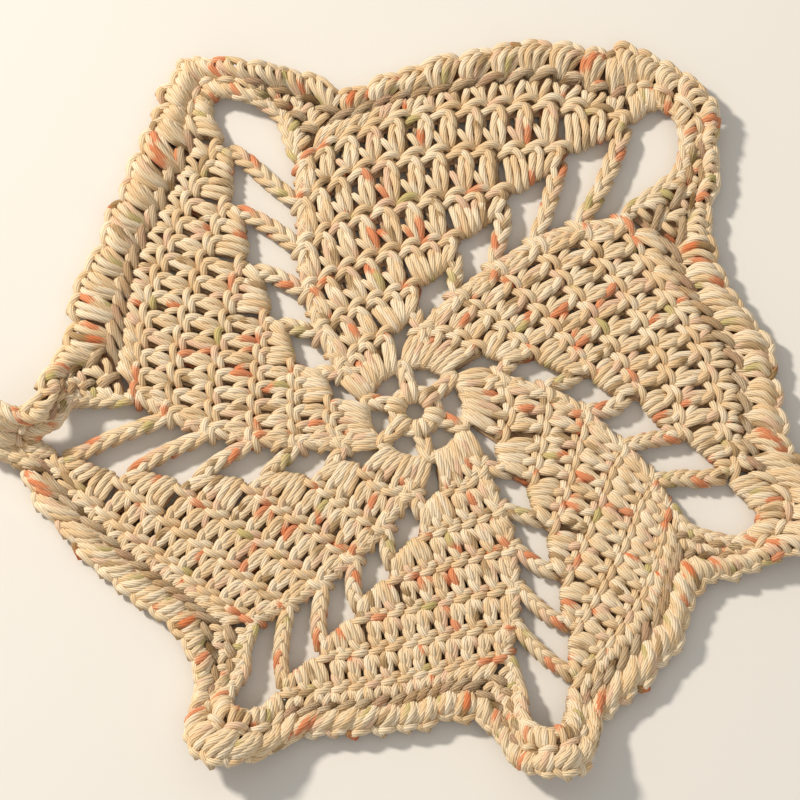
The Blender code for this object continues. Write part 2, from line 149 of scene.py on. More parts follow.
def tableValue(x, table):
    if x <= table[0][0]:
        return table[0][1]
    for (x0, y0), (x1, y1) in zip(table, table[1:]):
        if x <= x1:
            return y0 + (y1 - y0) * (x - x0) / (x1 - x0)
    return table[-1][1]


def smooth(x):
    x = min(max(x, 0.0), 1.0)
    return x * x * (3.0 - 2.0 * x)


def turnedBy(point, degrees):
    angle = math.radians(degrees)
    x, y = point
    return Vector((x * math.cos(angle) - y * math.sin(angle),
                   x * math.sin(angle) + y * math.cos(angle)))


# A point of a wing's own frame, turned to that wing's place.
def onWing(wing, point):
    return turnedBy(point, layout["topWingNormal"] - 90.0 - wing * wingAngle)


# A point of the next wing's frame, in this wing's frame.
def onNext(point):
    return turnedBy(point, -wingAngle)


def armValues(arm, reach):
    turn = tableValue(reach, ((layout["innerReach"], arm["turnIn"]),
                              (layout["middleReach"], arm["turnMid"]),
                              (layout["outerReach"], arm["turnOut"]),
                              (layout["tipReach"], arm["turnTip"])))
    stretch = tableValue(reach, ((layout["innerReach"], arm["stretchIn"]),
                                 (layout["outerReach"], arm["stretchOut"]),
                                 (layout["tipReach"], arm["stretchTip"])))
    return turn, stretch


# Move a point of the even pattern to where the cloth really lies, seen from above.
def lay(point):
    reach = math.hypot(point[0], point[1])
    if reach < 1e-6:
        return 0.0, 0.0
    wings = layout["wings"]
    degrees = math.degrees(math.atan2(point[1], point[0]))
    lag = tableValue(reach, layout["armLine"])
    place = (layout["topWingNormal"] - lag - degrees) / wingAngle
    before = math.floor(place)
    share = place - before
    arm, following = arms[before % wings], arms[(before + 1) % wings]
    turn, stretch = armValues(arm, reach)
    nextTurn, nextStretch = armValues(following, reach)
    blend = smooth(share)
    nearCentre = min(1.0, reach / layout["innerReach"])
    turn = nearCentre * (turn + (nextTurn - turn) * blend)
    middle = math.sin(math.pi * share) ** 2
    outward = smooth((reach - layout["innerReach"])
                     / (layout["outerReach"] - layout["innerReach"]))
    stretch = stretch + (nextStretch - stretch) * blend
    stretch += (following["wingStretch"] - stretch) * middle * outward
    stretch = 1.0 + (stretch - 1.0) * nearCentre
    peak, width = layout["pullShare"], layout["pullWidth"]
    pulled = following["slide"] * max(0.0, 1.0 - abs(share - peak) / width)
    pulled += arm["slide"] * max(0.0, 1.0 - abs(share + 1.0 - peak) / width)
    pulled *= smooth((reach - layout["pullFrom"]) / (layout["pullTo"] - layout["pullFrom"]))
    pulled *= smooth((layout["tipReach"] - layout["pullMargin"] - reach) / layout["pullFade"])
    degrees += turn
    reach = reach * stretch + pulled
    for fold in folds:
        aside = (degrees - fold["angle"] + 180.0) % 360.0 - 180.0
        drawn = fold["pinch"] * smooth((reach - fold["start"]) / layout["foldRun"])
        drawn *= smooth(layout["foldShoulder"] * (1.0 - abs(aside) / layout["foldSpread"]))
        degrees -= aside * drawn
    angle = math.radians(degrees)
    x, y = reach * math.cos(angle), reach * math.sin(angle)
    movedX, movedY = x, y
    for fromX, fromY, alongX, alongY, around in pulls:
        near = math.exp(-((x - fromX) ** 2 + (y - fromY) ** 2) / around ** 2)
        movedX += alongX * near
        movedY += alongY * near
    return movedX, movedY


# Height of the cloth's underside over the floor.
def lift(x, y):
    reach = math.hypot(x, y)
    degrees = math.degrees(math.atan2(y, x))
    swell = 0.5 + 0.5 * math.sin(math.radians(layout["waveCount"] * degrees))
    rising = smooth((reach - layout["waveFrom"]) / layout["waveRise"])
    height = layout["waveHeight"] * swell * rising
    height *= smooth((layout["waveTo"] - reach) / layout["waveFall"])
    for fold in folds:
        aside = math.radians((degrees - fold["angle"] + 180.0) % 360.0 - 180.0)
        along, across = reach * math.cos(aside), reach * math.sin(aside)
        if along > fold["start"]:
            rise = smooth((along - fold["start"]) / layout["foldRun"])
            ridge = math.exp(-layout["foldSharpness"] * (across / fold["halfWidth"]) ** 2)
            height += fold["height"] * rise * ridge
    for restX, restY in rests["points"]:
        away = math.hypot(x - restX, y - restY) / rests["reach"]
        height -= rests["dip"] * math.exp(-away * away)
    return height + rests["dip"]


# A point of the even pattern, above mm over the cloth's underside, in metres.
def onCloth(point, above):
    x, y = lay(point)
    step = 0.5
    height = lift(x, y)
    slope = height - lift(x + step, y), height - lift(x, y + step)
    normal = Vector((*slope, step)).normalized()
    place = Vector((x, y, height)) + normal * above
    return (place + Vector((*layout["ringPlace"], 0.0))) * mm


# Lines on the pattern.

# Points of a smooth line through points, with steps pieces between each two.
def rounded(points, steps):
    points = [Vector(point) for point in points]
    line = []
    last = len(points) - 1
    for i in range(last):
        a, b = points[max(i - 1, 0)], points[i]
        c, d = points[i + 1], points[min(i + 2, last)]
        for step in range(steps):
            t = step / steps
            line.append(0.5 * (2.0 * b + (c - a) * t
                               + (2.0 * a - 5.0 * b + 4.0 * c - d) * t * t
                               + (3.0 * b - a - 3.0 * c + d) * t ** 3))
    line.append(points[-1])
    return line


def lengthOf(line):
    return sum((b - a).length for a, b in zip(line, line[1:]))


# The point a share of the way along a line.
def pointAt(line, share):
    target = lengthOf(line) * min(max(share, 0.0), 1.0)
    for a, b in zip(line, line[1:]):
        piece = (b - a).length
        if target <= piece:
            return a + (b - a) * (target / max(piece, 1e-9))
        target -= piece
    return line[-1].copy()


def spread(line, shares):
    return [pointAt(line, share) for share in shares]


# Yarn paths.

# Sizes of the yarn in mm, and its twist.
yarn = {
    "radius": 1.28,
    "plyDepth": 0.06,
    "turnLength": 26.0,
    "step": 1.0,
    "sides": 8,
    "backSides": 6,
    "backStep": 2.4,
    "taperLength": 3.2,
    "taperTo": 0.36,
    "jitter": 0.5,
    "thinnest": 0.94,
    "fattest": 1.08,
    "ownStart": 40.0,
}
# The stitches that the tables below are drawn for: rows, the low last row, the border.
stitch = {"pitch": 6.9, "height": 12.5}
lowStitch = {"pitch": 6.9, "height": 9.0}
puffStitch = {"pitch": 6.9, "height": 13.5, "perWing": 19,
              "strayAlong": 0.14, "strayOut": 0.1, "narrowest": 0.85, "widest": 1.1,
              "thinnest": 0.98, "fattest": 1.14}
# Chains: the pitch of a link, how far a bar's ends run into the stitches, how much later
# one leaf of a link starts than the other, the yarn's fatness for a chain's width, and
# then each chain's width and how much lower it lies.
chain = {"pitch": 4.9, "tuck": 1.6, "late": 0.2, "fatness": 0.5, "fatnessPerWidth": 0.62,
         "backAbove": 2.0, "barWide": 0.97, "fanWide": 0.7, "fanLow": 0.6, "climbWide": 0.9,
         "tipWide": 0.6, "tipLow": 0.8, "loopWide": 0.8, "tipShare": 0.6}

# Strands of one double crochet on its front: u along the row, v up the stitch, w up.
capStrand = ((-3.9, 10.3, 1.8), (-2.4, 11.5, 4.2), (-0.4, 12.4, 5.4), (1.5, 12.7, 5.2),
             (2.8, 12.4, 3.8), (3.6, 11.6, 2.0))
wingStrand = ((-5.2, 9.2, 1.8), (-4.2, 9.7, 3.8), (-2.6, 10.3, 4.8), (-0.9, 10.6, 4.9),
              (0.6, 10.4, 3.8), (1.5, 9.9, 2.4))
shoulderStrand = ((-1.4, 11.0, 3.4), (-0.2, 10.2, 5.1), (0.7, 8.9, 5.3), (1.2, 7.4, 4.8),
                  (1.2, 6.1, 3.8), (0.9, 5.0, 2.4))
leftLeg = ((-0.6, 10.0, 2.8), (-1.1, 8.6, 4.4), (-1.3, 6.9, 4.7), (-1.5, 4.9, 5.0),
           (-1.4, 2.9, 5.0), (-0.9, 1.1, 4.0), (-0.4, -0.2, 2.2))
rightLeg = ((-0.5, 8.4, 2.8), (0.1, 6.9, 4.6), (0.7, 5.1, 5.5), (0.85, 3.3, 5.3),
            (0.6, 1.5, 4.3), (0.3, -0.1, 2.4))
sideStrand = ((-5.0, 5.3, 2.2), (-4.1, 4.4, 4.3), (-3.1, 3.0, 5.0), (-2.1, 1.6, 4.4),
              (-1.3, 0.4, 2.4))
plainFront = (capStrand, wingStrand, shoulderStrand, leftLeg, rightLeg, sideStrand)
backStrand = ((-2.4, 11.6, 1.8), (-1.9, 7.5, 1.5), (-2.0, 3.5, 1.5), (0.0, 0.2, 1.5),
              (1.8, 3.5, 1.5), (1.7, 7.5, 1.5), (2.3, 11.4, 1.6), (-0.4, 12.3, 1.5),
              (-3.6, 11.8, 1.5))
# The legs of a stitch worked over a chain instead of into a stitch.
fanLegs = (((-1.8, 1.8, 1.5), (-1.9, -0.2, 1.5), (-1.9, -1.3, 2.6), (-1.9, -0.3, 4.5),
            (-1.8, 2.0, 5.2), (-1.7, 4.9, 5.0), (-1.4, 7.4, 4.4), (-0.9, 9.4, 2.4)),
           ((1.7, 1.8, 1.5), (1.6, -0.2, 1.6), (1.6, -1.4, 2.8), (1.6, -0.3, 4.8),
            (1.7, 1.8, 5.4), (1.5, 4.5, 5.1), (1.1, 6.6, 4.4), (0.3, 8.4, 2.6)))
fanFront = (capStrand, wingStrand, shoulderStrand, *fanLegs)
# The first stitch of a fan has one more leg, towards the stitches before it.
firstFront = (*fanFront,
              ((-4.7, 1.8, 1.6), (-5.0, 0.0, 2.6), (-5.0, 1.2, 4.2), (-4.7, 3.6, 4.9),
               (-4.1, 6.2, 4.6), (-3.2, 8.6, 2.6)))
# The low stitch of the last row: one big leaning loop over its legs.
lowLoop = ((-3.7, 4.7, 1.8), (-2.6, 5.8, 4.4), (-1.0, 7.0, 5.7), (0.7, 8.0, 5.7),
           (2.1, 8.7, 4.5), (3.1, 9.1, 2.4))
lowArch = ((-3.8, 6.9, 1.6), (-2.7, 8.0, 3.4), (-1.2, 8.9, 4.3), (0.5, 9.5, 4.1),
           (1.9, 9.7, 2.4))
lowFront = (lowLoop, lowLoop, lowArch,
            ((-1.7, 5.6, 2.6), (-1.9, 4.1, 4.5), (-1.6, 2.5, 4.9), (-1.0, 0.9, 3.9),
             (-0.4, -0.3, 2.0)),
            ((0.9, 6.0, 3.0), (1.3, 4.6, 4.9), (1.1, 2.9, 5.0), (0.7, 1.2, 4.2),
             (0.2, -0.3, 2.4)),
            sideStrand)
lowFanFront = (lowLoop, lowArch,
               ((-2.3, 1.4, 1.5), (-2.3, -0.6, 1.5), (-2.3, -1.6, 2.6), (-2.3, -0.4, 4.6),
                (-2.3, 2.0, 5.2), (-2.1, 4.4, 4.8), (-1.5, 6.2, 3.0)),
               ((0.0, 1.4, 1.5), (0.0, -0.6, 1.5), (0.0, -1.7, 2.6), (0.0, -0.4, 4.7),
                (0.1, 2.0, 5.4), (0.2, 4.2, 5.0), (0.2, 6.0, 3.2)),
               ((2.3, 1.4, 1.5), (2.3, -0.6, 1.5), (2.3, -1.6, 2.6), (2.3, -0.4, 4.6),
                (2.4, 2.0, 5.2), (2.2, 4.6, 4.9), (1.8, 6.8, 3.2)))
# One fat puff of the border, its strands leaning to the right, and the chain that
# closes it along the edge.
puffFront = (
    ((-1.9, -1.6, 2.4), (-3.0, 1.0, 4.8), (-3.6, 4.4, 6.6), (-3.0, 7.2, 6.9),
     (-1.8, 9.4, 5.4), (-0.8, 10.4, 3.2)),
    ((-1.4, -2.0, 2.6), (-1.9, 1.2, 5.8), (-1.9, 4.6, 7.6), (-0.9, 7.4, 7.6),
     (0.3, 9.6, 6.0), (1.1, 10.6, 3.4)),
    ((-0.7, -1.8, 2.6), (-0.6, 1.4, 5.6), (0.0, 4.6, 7.4), (1.2, 7.0, 7.3),
     (2.3, 8.8, 5.8), (2.9, 10.0, 3.2)),
    ((0.1, -1.2, 2.4), (0.8, 1.6, 4.8), (1.7, 4.2, 6.2), (2.8, 6.3, 6.0),
     (3.5, 7.9, 4.6), (3.8, 8.9, 2.6)),
    ((-4.2, 8.6, 2.0), (-3.2, 10.2, 4.8), (-1.5, 11.3, 5.8), (0.2, 11.7, 5.2),
     (1.3, 11.2, 3.0)),
    ((-0.8, 12.3, 2.0), (0.7, 12.0, 4.4), (2.2, 11.0, 5.4), (3.3, 9.7, 4.8),
     (4.0, 8.4, 2.6)))
puffBack = ((-3.4, 9.4, 1.8), (-3.0, 5.0, 1.5), (-2.0, 0.4, 1.5), (0.6, 0.4, 1.5),
            (1.8, 5.0, 1.5), (2.8, 9.6, 1.6))
# A chain link is two leaves side by side: share of the pitch along, mm aside, mm up.
chainLeaf = ((-0.55, 1.5, 2.0), (-0.15, 1.75, 3.6), (0.25, 1.35, 4.6), (0.6, 0.65, 5.0),
             (0.9, -0.05, 4.2), (1.15, -0.5, 2.4))


# Paths of yarn, kept as wires until they are swept into one mesh.
class Skein:
    def __init__(self, name):
        self.name = name
        self.wires = bmesh.new()
        self.backs = bmesh.new()
        for part in (self.wires, self.backs):
            part.verts.layers.float.new("above")
            part.verts.layers.float.new("fat")

    # Add one strand: points of the even pattern, each with its height in mm.
    def add(self, points, back=False, fat=1.0):
        target = self.backs if back else self.wires
        kept = target.verts.layers.float["above"]
        keptFat = target.verts.layers.float["fat"]
        verts = [target.verts.new(onCloth(point, above)) for point, above in points]
        for vert, (point, above) in zip(verts, points):
            vert[kept] = above
            vert[keptFat] = fat
        for a, b in zip(verts, verts[1:]):
            target.edges.new((a, b))


def shaken(amount):
    return random.uniform(-amount, amount)


# Lay strands between the base and the top of one stitch of the even pattern.
def addStitch(skein, base, baseStep, top, topStep, strands, drawn=stitch, back=False,
              fat=1.0):
    shift = Vector((shaken(yarn["jitter"]), shaken(yarn["jitter"])))
    rise = shaken(yarn["jitter"])
    for strand in strands:
        places = []
        for u, v, w in strand:
            share = v / drawn["height"]
            held = min(max(share, 0.0), 1.0)
            across = (baseStep + (topStep - baseStep) * held) / drawn["pitch"]
            point = base + (top - base) * share + across * u
            point += shift * math.sin(math.pi * held)
            places.append((point, max(w + rise * 0.5, yarn["radius"])))
        skein.add(places, back, fat * random.uniform(yarn["thinnest"], yarn["fattest"]))


# A crocheted chain along a line of the even pattern.
def addChain(skein, line, pitch, wide=1.0, low=0.0):
    total = lengthOf(line)
    links = max(2, round(total / pitch))
    pitch = total / links

    def beside(along, aside, above):
        share = along / total
        ahead, behind = pointAt(line, share + 0.02), pointAt(line, share - 0.02)
        direction = (ahead - behind).normalized()
        point = pointAt(line, share) + Vector((-direction.y, direction.x)) * aside
        return point, above

    for n in range(links):
        for side in (-1.0, 1.0):
            late = chain["late"] * side
            skein.add([beside((n + 0.5 + u + late) * pitch, v * side * wide, w - low)
                       for u, v, w in chainLeaf],
                      fat=chain["fatness"] + chain["fatnessPerWidth"] * wide)
    skein.add([beside(total * n / (links * 2), 0.0, chain["backAbove"])
               for n in range(links * 2 + 1)], back=True)


print("layout ready")


# Rows of stitches.

# The top line of a round on one wing, from its left end to its right end.
def rowTop(number):
    if number in rounds:
        shape = rounds[number]
        return rounded((shape["left"], shape["crown"], shape["right"]), 12)
    first, second, *others = layout["rowEnd"]
    return rounded([second, *others, onNext(first), onNext(second)], 6)


# The free chain of a round: its start on this wing, bowed middle, end on the next.
def chainBar(number):
    start = Vector(rounds[number + 1]["fanStart"])
    end = onNext(rounds[number]["left"])
    middle = (start + end) / 2.0
    return start, middle * (1.0 + rounds[number]["barBow"] / middle.length), end


# The chain that the last stitches of a round are worked over.
def fanLine(number):
    if number == layout["firstRound"]:
        return rounded((layout["spokeTop"], layout["spokeBend"], rounds[number]["fanStart"]),
                       layout["lineSteps"])
    shape = rounds[number - 1]
    if number == layout["lastRound"]:
        return rounded([shape["right"], *layout["tipLoop"], onNext(shape["left"])],
                       layout["lineSteps"])
    return rounded((shape["right"], rounds[number]["fanStart"]), 6)


# The way from each point to the next, the last repeated.
def steps(points):
    result = [b - a for a, b in zip(points, points[1:])]
    return result + [result[-1]] if result else [Vector((stitch["pitch"], 0.0))]


# The share of the way along a line where it passes a point.
def nearestShare(line, point):
    shares = [n / 200.0 for n in range(201)]
    return min(shares, key=lambda share: (pointAt(line, share) - point).length)


# Places of the last row's tops: over their bases as far as there is room.
def lastRowShares(top, bases, fan):
    total = lengthOf(top)
    shares = []
    for n, base in enumerate(bases):
        above = nearestShare(top, base * (1.0 + lowStitch["height"] / base.length))
        shares.append(max(above, (n + 0.5) * layout["lastRowRoom"] / total))
    rest = 1.0 - shares[-1]
    return shares + [shares[-1] + rest * (n + 0.6) / (fan + 0.1) for n in range(fan)]


# Kind, base, base step, top and top step of each stitch on one wing.
def wingStitches():
    found = []
    previousTop = None
    for number in range(layout["firstRound"], layout["lastRound"] + 1):
        plain = 0 if number == layout["firstRound"] else rounds[number - 1]["stitches"] - 1
        fan = layout["fans"].get(number, layout["usualFan"])
        count = plain + fan
        top = rowTop(number)
        bases = []
        if plain:
            bases = spread(previousTop, [(n + 1.0) / (plain + 1) for n in range(plain)])
        if number == layout["lastRound"]:
            topPoints = spread(top, lastRowShares(top, bases, fan))
        else:
            topPoints = spread(top, [(n + 0.5) / count for n in range(count)])
        fanBases = spread(fanLine(number), [(n + 0.6) / (fan + 0.2) for n in range(fan)])
        baseSteps = (steps(bases) if bases else []) + steps(fanBases)
        for n, (base, baseStep, point, step) in enumerate(
                zip(bases + fanBases, baseSteps, topPoints, steps(topPoints))):
            kind = "plain" if n < plain else "firstFan" if n == plain else "fan"
            if number == layout["lastRound"]:
                kind = "low" if n < plain else "lowFan"
                if n >= count - layout["bareStitches"]:
                    middle, middleStep = (base + point) / 2.0, (baseStep + step) / 2.0
                    found.append(("low", base, baseStep, middle, middleStep))
                    kind, base, baseStep = "low", middle, middleStep
            found.append((kind, base, baseStep, point, step))
        previousTop = top
    return found


def turned(wing, *points):
    return [onWing(wing, point) for point in points]


wingPlan = wingStitches()
print("stitches on a wing:", len(wingPlan))


# Base, base step, top and top step for each puff on one wing.
def borderStitches():
    count = puffStitch["perWing"]
    shares = [(n + 0.5) / count for n in range(count)]
    inner = rowTop(layout["lastRound"])
    outer = rounded([*layout["edge"], onNext(layout["edge"][0])], 6)
    bases, tops = spread(inner, shares), spread(outer, shares)
    return list(zip(bases, steps(bases), tops, steps(tops)))


borderPlan = borderStitches()
fronts = {"plain": (plainFront, stitch), "fan": (fanFront, stitch),
          "firstFan": (firstFront, stitch),
          "low": (lowFront, lowStitch), "lowFan": (lowFanFront, lowStitch)}


# The line with both ends drawn out, so that a chain's ends lie inside the stitches.
def prolonged(line, by):
    first, second, *_, beforeLast, last = [Vector(point) for point in line]
    return [first + (first - second).normalized() * by, *line,
            last + (last - beforeLast).normalized() * by]


def makeWing(wing):
    skein = Skein(f"wing_{wing}")
    for kind, *plan in wingPlan:
        front, drawn = fronts[kind]
        addStitch(skein, *turned(wing, *plan), front, drawn)
        addStitch(skein, *turned(wing, *plan), (backStrand,), stitch, back=True)
    for plan in borderPlan:
        base, baseStep, top, topStep = turned(wing, *plan)
        top += (topStep * shaken(puffStitch["strayAlong"])
                + (top - base) * shaken(puffStitch["strayOut"]))
        wide = random.uniform(puffStitch["narrowest"], puffStitch["widest"])
        place = base, baseStep * wide, top, topStep
        fat = random.uniform(puffStitch["thinnest"], puffStitch["fattest"])
        addStitch(skein, *place, puffFront, puffStitch, fat=fat)
        addStitch(skein, *place, (puffBack,), puffStitch, back=True)
    for number in range(layout["firstRound"], layout["lastRound"] - 1):
        line = prolonged(rounded(chainBar(number), layout["lineSteps"]), chain["tuck"])
        addChain(skein, turned(wing, *line), chain["pitch"], chain["barWide"])
    addChain(skein, turned(wing, *fanLine(layout["firstRound"])), chain["pitch"],
             chain["fanWide"], chain["fanLow"])
    # The first stitch of each row is a chain that climbs the wing's left edge.
    climb = [Vector(rounds[number]["left"]) + Vector((layout["climbInset"], 0.0))
             for number in rounds]
    climb = rounded([layout["climbStart"], *climb], 6)
    addChain(skein, turned(wing, *climb), chain["pitch"], chain["climbWide"])
    tipLine = fanLine(layout["lastRound"])
    bare = round(len(tipLine) * chain["tipShare"])
    addChain(skein, turned(wing, *tipLine[:bare + 1]), chain["pitch"], chain["tipWide"],
             chain["tipLow"])
    addChain(skein, turned(wing, *tipLine[bare:]), chain["pitch"], chain["loopWide"])
    return skein


# Sweeping the yarn.

# Add a node, set its own settings, then link or fill its inputs.
def addNode(tree, kind, inputs=None, **settings):
    node = tree.nodes.new(kind)
    for name, value in settings.items():
        setattr(node, name, value)
    for name, value in (inputs or {}).items():
        if isinstance(value, bpy.types.NodeSocket):
            tree.links.new(value, node.inputs[name])
        else:
            node.inputs[name].default_value = value
    return node


# Geometry Nodes that sweep a plied yarn along wires, with its own coordinates.
def sweepGroup(name, step, sides):
    tree = bpy.data.node_groups.new(name, "GeometryNodeTree")
    tree.interface.new_socket("Geometry", in_out="INPUT", socket_type="NodeSocketGeometry")
    tree.interface.new_socket("Geometry", in_out="OUTPUT", socket_type="NodeSocketGeometry")
    source = addNode(tree, "NodeGroupInput")
    curve = addNode(tree, "GeometryNodeMeshToCurve", {"Mesh": source.outputs[0]})
    typed = addNode(tree, "GeometryNodeCurveSplineType", {"Curve": curve.outputs[0]},
                    spline_type="CATMULL_ROM")
    even = addNode(tree, "GeometryNodeResampleCurve",
                   {"Curve": typed.outputs[0], "Length": step * mm}, mode="LENGTH")
    along = addNode(tree, "GeometryNodeSplineParameter")
    index = addNode(tree, "GeometryNodeInputIndex")
    twist = addNode(tree, "ShaderNodeMath",
                    {0: along.outputs["Length"], 1: 2.0 * math.pi / (yarn["turnLength"] * mm)},
                    operation="MULTIPLY")
    tilted = addNode(tree, "GeometryNodeSetCurveTilt",
                     {"Curve": even.outputs[0], "Tilt": twist.outputs[0]})
    strandIndex = addNode(tree, "GeometryNodeFieldOnDomain", {0: index.outputs[0]},
                          domain="CURVE", data_type="INT")
    own = addNode(tree, "FunctionNodeRandomValue",
                  {"Max": yarn["ownStart"], "ID": strandIndex.outputs[0]}, data_type="FLOAT")
    placed = addNode(tree, "ShaderNodeMath", {0: along.outputs["Length"], 1: own.outputs[1]},
                     operation="ADD")
    kept = addNode(tree, "GeometryNodeStoreNamedAttribute",
                   {"Geometry": tilted.outputs[0], "Name": "along",
                    "Value": placed.outputs[0]},
                   data_type="FLOAT", domain="POINT")
    whole = addNode(tree, "GeometryNodeSplineLength")
    behind = addNode(tree, "ShaderNodeMath", {0: whole.outputs[0], 1: along.outputs["Length"]},
                     operation="SUBTRACT")
    toEnd = addNode(tree, "ShaderNodeMath", {0: behind.outputs[0], 1: along.outputs["Length"]},
                    operation="MINIMUM")
    taper = addNode(tree, "ShaderNodeMapRange",
                    {"Value": toEnd.outputs[0], "From Max": yarn["taperLength"] * mm,
                     "To Min": yarn["taperTo"]}, interpolation_type="SMOOTHSTEP")
    fat = addNode(tree, "GeometryNodeInputNamedAttribute", {"Name": "fat"}, data_type="FLOAT")
    full = addNode(tree, "ShaderNodeMath", {0: taper.outputs[0], 1: fat.outputs[0]},
                   operation="MULTIPLY")
    tapered = addNode(tree, "GeometryNodeSetCurveRadius",
                      {"Curve": kept.outputs[0], "Radius": full.outputs[0]})
    circle = addNode(tree, "GeometryNodeCurvePrimitiveCircle",
                     {"Resolution": sides, "Radius": yarn["radius"] * mm})
    spot = addNode(tree, "GeometryNodeInputPosition")
    odd = addNode(tree, "ShaderNodeMath", {0: index.outputs[0], 1: 2.0}, operation="MODULO")
    lobe = addNode(tree, "ShaderNodeMapRange",
                   {"Value": odd.outputs[0], "To Min": 1.0 + yarn["plyDepth"],
                    "To Max": 1.0 - yarn["plyDepth"]})
    lobed = addNode(tree, "ShaderNodeVectorMath",
                    {0: spot.outputs[0], "Scale": lobe.outputs[0]}, operation="SCALE")
    plied = addNode(tree, "GeometryNodeSetPosition",
                    {"Geometry": circle.outputs[0], "Position": lobed.outputs[0]})
    around = addNode(tree, "ShaderNodeVectorMath", {0: spot.outputs[0]}, operation="NORMALIZE")
    ring = addNode(tree, "GeometryNodeStoreNamedAttribute",
                   {"Geometry": plied.outputs[0], "Name": "around",
                    "Value": around.outputs[0]},
                   data_type="FLOAT_VECTOR", domain="POINT")
    swept = addNode(tree, "GeometryNodeCurveToMesh",
                    {"Curve": tapered.outputs[0], "Profile Curve": ring.outputs[0],
                     "Fill Caps": True})
    shaded = addNode(tree, "GeometryNodeSetShadeSmooth", {"Geometry": swept.outputs[0]})
    target = addNode(tree, "NodeGroupOutput")
    tree.links.new(shaded.outputs[0], target.inputs[0])
    return tree


sweeps = {False: sweepGroup("sweep_yarn", yarn["step"], yarn["sides"]),
          True: sweepGroup("sweep_back_yarn", yarn["backStep"], yarn["backSides"])}


def sweptMesh(wires, name, back):
    mesh = bpy.data.meshes.new(name)
    wires.to_mesh(mesh)
    wires.free()
    item = bpy.data.objects.new(name, mesh)
    bpy.context.collection.objects.link(item)
    item.modifiers.new("sweep", "NODES").node_group = sweeps[back]
    bpy.context.view_layer.update()
    ready = item.evaluated_get(bpy.context.evaluated_depsgraph_get())
    result = bpy.data.meshes.new_from_object(ready)
    bpy.data.objects.remove(item)
    return result


# Sweep a skein's paths, front and back, into one piece.
def makePiece(skein, material):
    joined = bmesh.new()
    for back, wires in ((False, skein.wires), (True, skein.backs)):
        if len(wires.verts):
            mesh = sweptMesh(wires, skein.name + "_part", back)
            joined.from_mesh(mesh)
    mesh = bpy.data.meshes.new(skein.name)
    joined.to_mesh(mesh)
    joined.free()
    mesh.materials.clear()
    mesh.materials.append(material)
    piece = bpy.data.objects.new(skein.name, mesh)
    bpy.context.collection.objects.link(piece)
    for face in mesh.polygons:
        face.use_smooth = True
    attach(piece, "root")
    print(skein.name, "triangles", sum(len(face.vertices) - 2 for face in mesh.polygons))
    return piece


# Materials.

# An sRGB colour as Blender's linear one.
def linear(hexColour):
    parts = [int(hexColour[i:i + 2], 16) / 255.0 for i in (1, 3, 5)]
    return tuple(part / 12.92 if part <= 0.04045 else ((part + 0.055) / 1.055) ** 2.4
                 for part in parts) + (1.0,)


cotton = {
    "cream": "#F0DAB6",
    "warmCream": "#E8C89B",
    "paleCream": "#F8E8CC",
    "orange": "#DC7034",
    "olive": "#C0B36E",
    "brown": "#9A7848",
    "peach": "#E8C3A6",
    "fleckLength": 6.0,
    "roughness": 0.85,
    # Painted shade: the share of its colour the yarn keeps low between the stitches, and the
    # heights in mm between which it lightens to full.
    "paintedCreviceShade": 0.66,
    "paintedShadeFrom": 1.5,
    "paintedShadeTo": 4.3,
    # The warm tint that the painted shade takes on.
    "shadowTint": "#E9C696",
    "plies": 4,
    "plySharpness": 0.6,
    "grooveDepth": 0.28,
    "fibreLength": 10.0 / 3.0,
    "fibresAcross": 6.0,
    "fibreShare": 0.45,
    "fleckRagged": 11.0,
    "toneLength": 50.0 / 3.0,
    "toneShare": 0.5,
    "sheen": 0.08,
    "sheenRoughness": 0.5,
    "specular": 0.2,
    # Where each colour of the fleck starts, from 0 to 1.
    "bands": (("orange", 0.0), ("olive", 0.032), ("brown", 0.052), ("peach", 0.08),
              ("warmCream", 0.15), ("cream", 0.36), ("paleCream", 0.76)),
}
